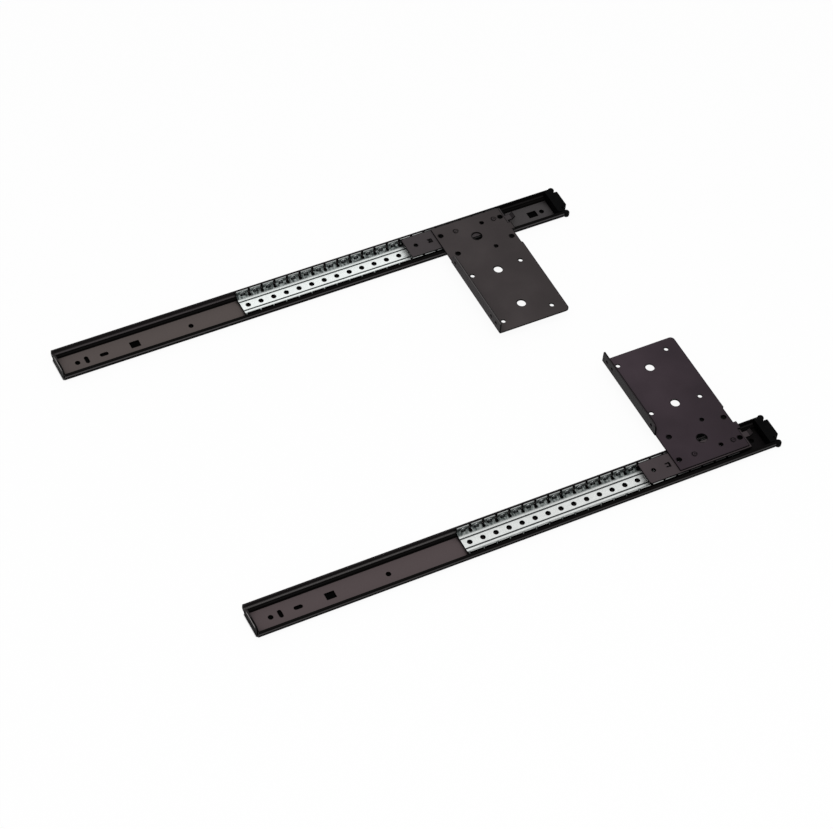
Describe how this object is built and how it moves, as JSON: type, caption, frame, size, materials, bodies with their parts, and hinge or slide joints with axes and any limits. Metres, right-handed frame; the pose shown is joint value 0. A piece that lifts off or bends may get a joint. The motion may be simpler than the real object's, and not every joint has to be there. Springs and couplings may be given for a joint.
{
  "type": "pocket door slide pair",
  "caption": "Upper and lower ball-bearing slide of a pocket door: long dark channel, zinc ball retainer, short inner rail and a flanged carrier plate that rides along the channel.",
  "frame": {"origin": "middle of the pair on the cabinet side panel's face, level with the channels' undersides", "axes": "+X along the channels to the cabinet front, +Y from the lower slide to the upper one, +Z off the cabinet side panel into the pocket"},
  "size_m": [0.546, 0.3554, 0.0245],
  "materials": {
    "channel_paint": "dark bronze coating with a low sheen",
    "carriage_paint": "dark grey-brown coating, satin",
    "black_plastic": "moulded black plastic",
    "zinc_strip": "bright zinc plating",
    "ball_steel": "polished hardened steel",
    "dark_steel": "coated with the plate"
  },
  "bodies": {
    "cabinet_channels": {"upper_cabinet_channel": "channel_paint", "upper_front_stop": "black_plastic", "lower_cabinet_channel": "channel_paint", "lower_front_stop": "black_plastic"},
    "upper_retainer": {"upper_ball_retainer": "zinc_strip", "upper_plate_side_balls": "ball_steel", "upper_edge_side_balls": "ball_steel"},
    "lower_retainer": {"lower_ball_retainer": "zinc_strip", "lower_plate_side_balls": "ball_steel", "lower_edge_side_balls": "ball_steel"},
    "upper_carriage": {"upper_inner_rail": "carriage_paint", "upper_rail_cushion": "black_plastic", "upper_carrier_plate": "carriage_paint", "upper_plate_rivets": "dark_steel", "upper_clinch_nuts": "dark_steel"},
    "lower_carriage": {"lower_inner_rail": "carriage_paint", "lower_rail_cushion": "black_plastic", "lower_carrier_plate": "carriage_paint", "lower_plate_rivets": "dark_steel", "lower_clinch_nuts": "dark_steel"}
  },
  "joints": [
    {"name": "upper_carriage_slide", "type": "slide", "parent": "cabinet_channels", "child": "upper_carriage", "axis": [1, 0, 0], "range_m": [-0.339, 0.0405]},
    {"name": "upper_retainer_slide", "type": "slide", "parent": "cabinet_channels", "child": "upper_retainer", "axis": [1, 0, 0], "range_m": [-0.1695, 0.02025]},
    {"name": "lower_carriage_slide", "type": "slide", "parent": "cabinet_channels", "child": "lower_carriage", "axis": [1, 0, 0], "range_m": [-0.3705, 0.009]},
    {"name": "lower_retainer_slide", "type": "slide", "parent": "cabinet_channels", "child": "lower_retainer", "axis": [1, 0, 0], "range_m": [-0.18525, 0.0045]}
  ],
  "couplings": [
    {"joint": "upper_retainer_slide", "follows": "upper_carriage_slide", "ratio": 0.5},
    {"joint": "lower_retainer_slide", "follows": "lower_carriage_slide", "ratio": 0.5}
  ]
}
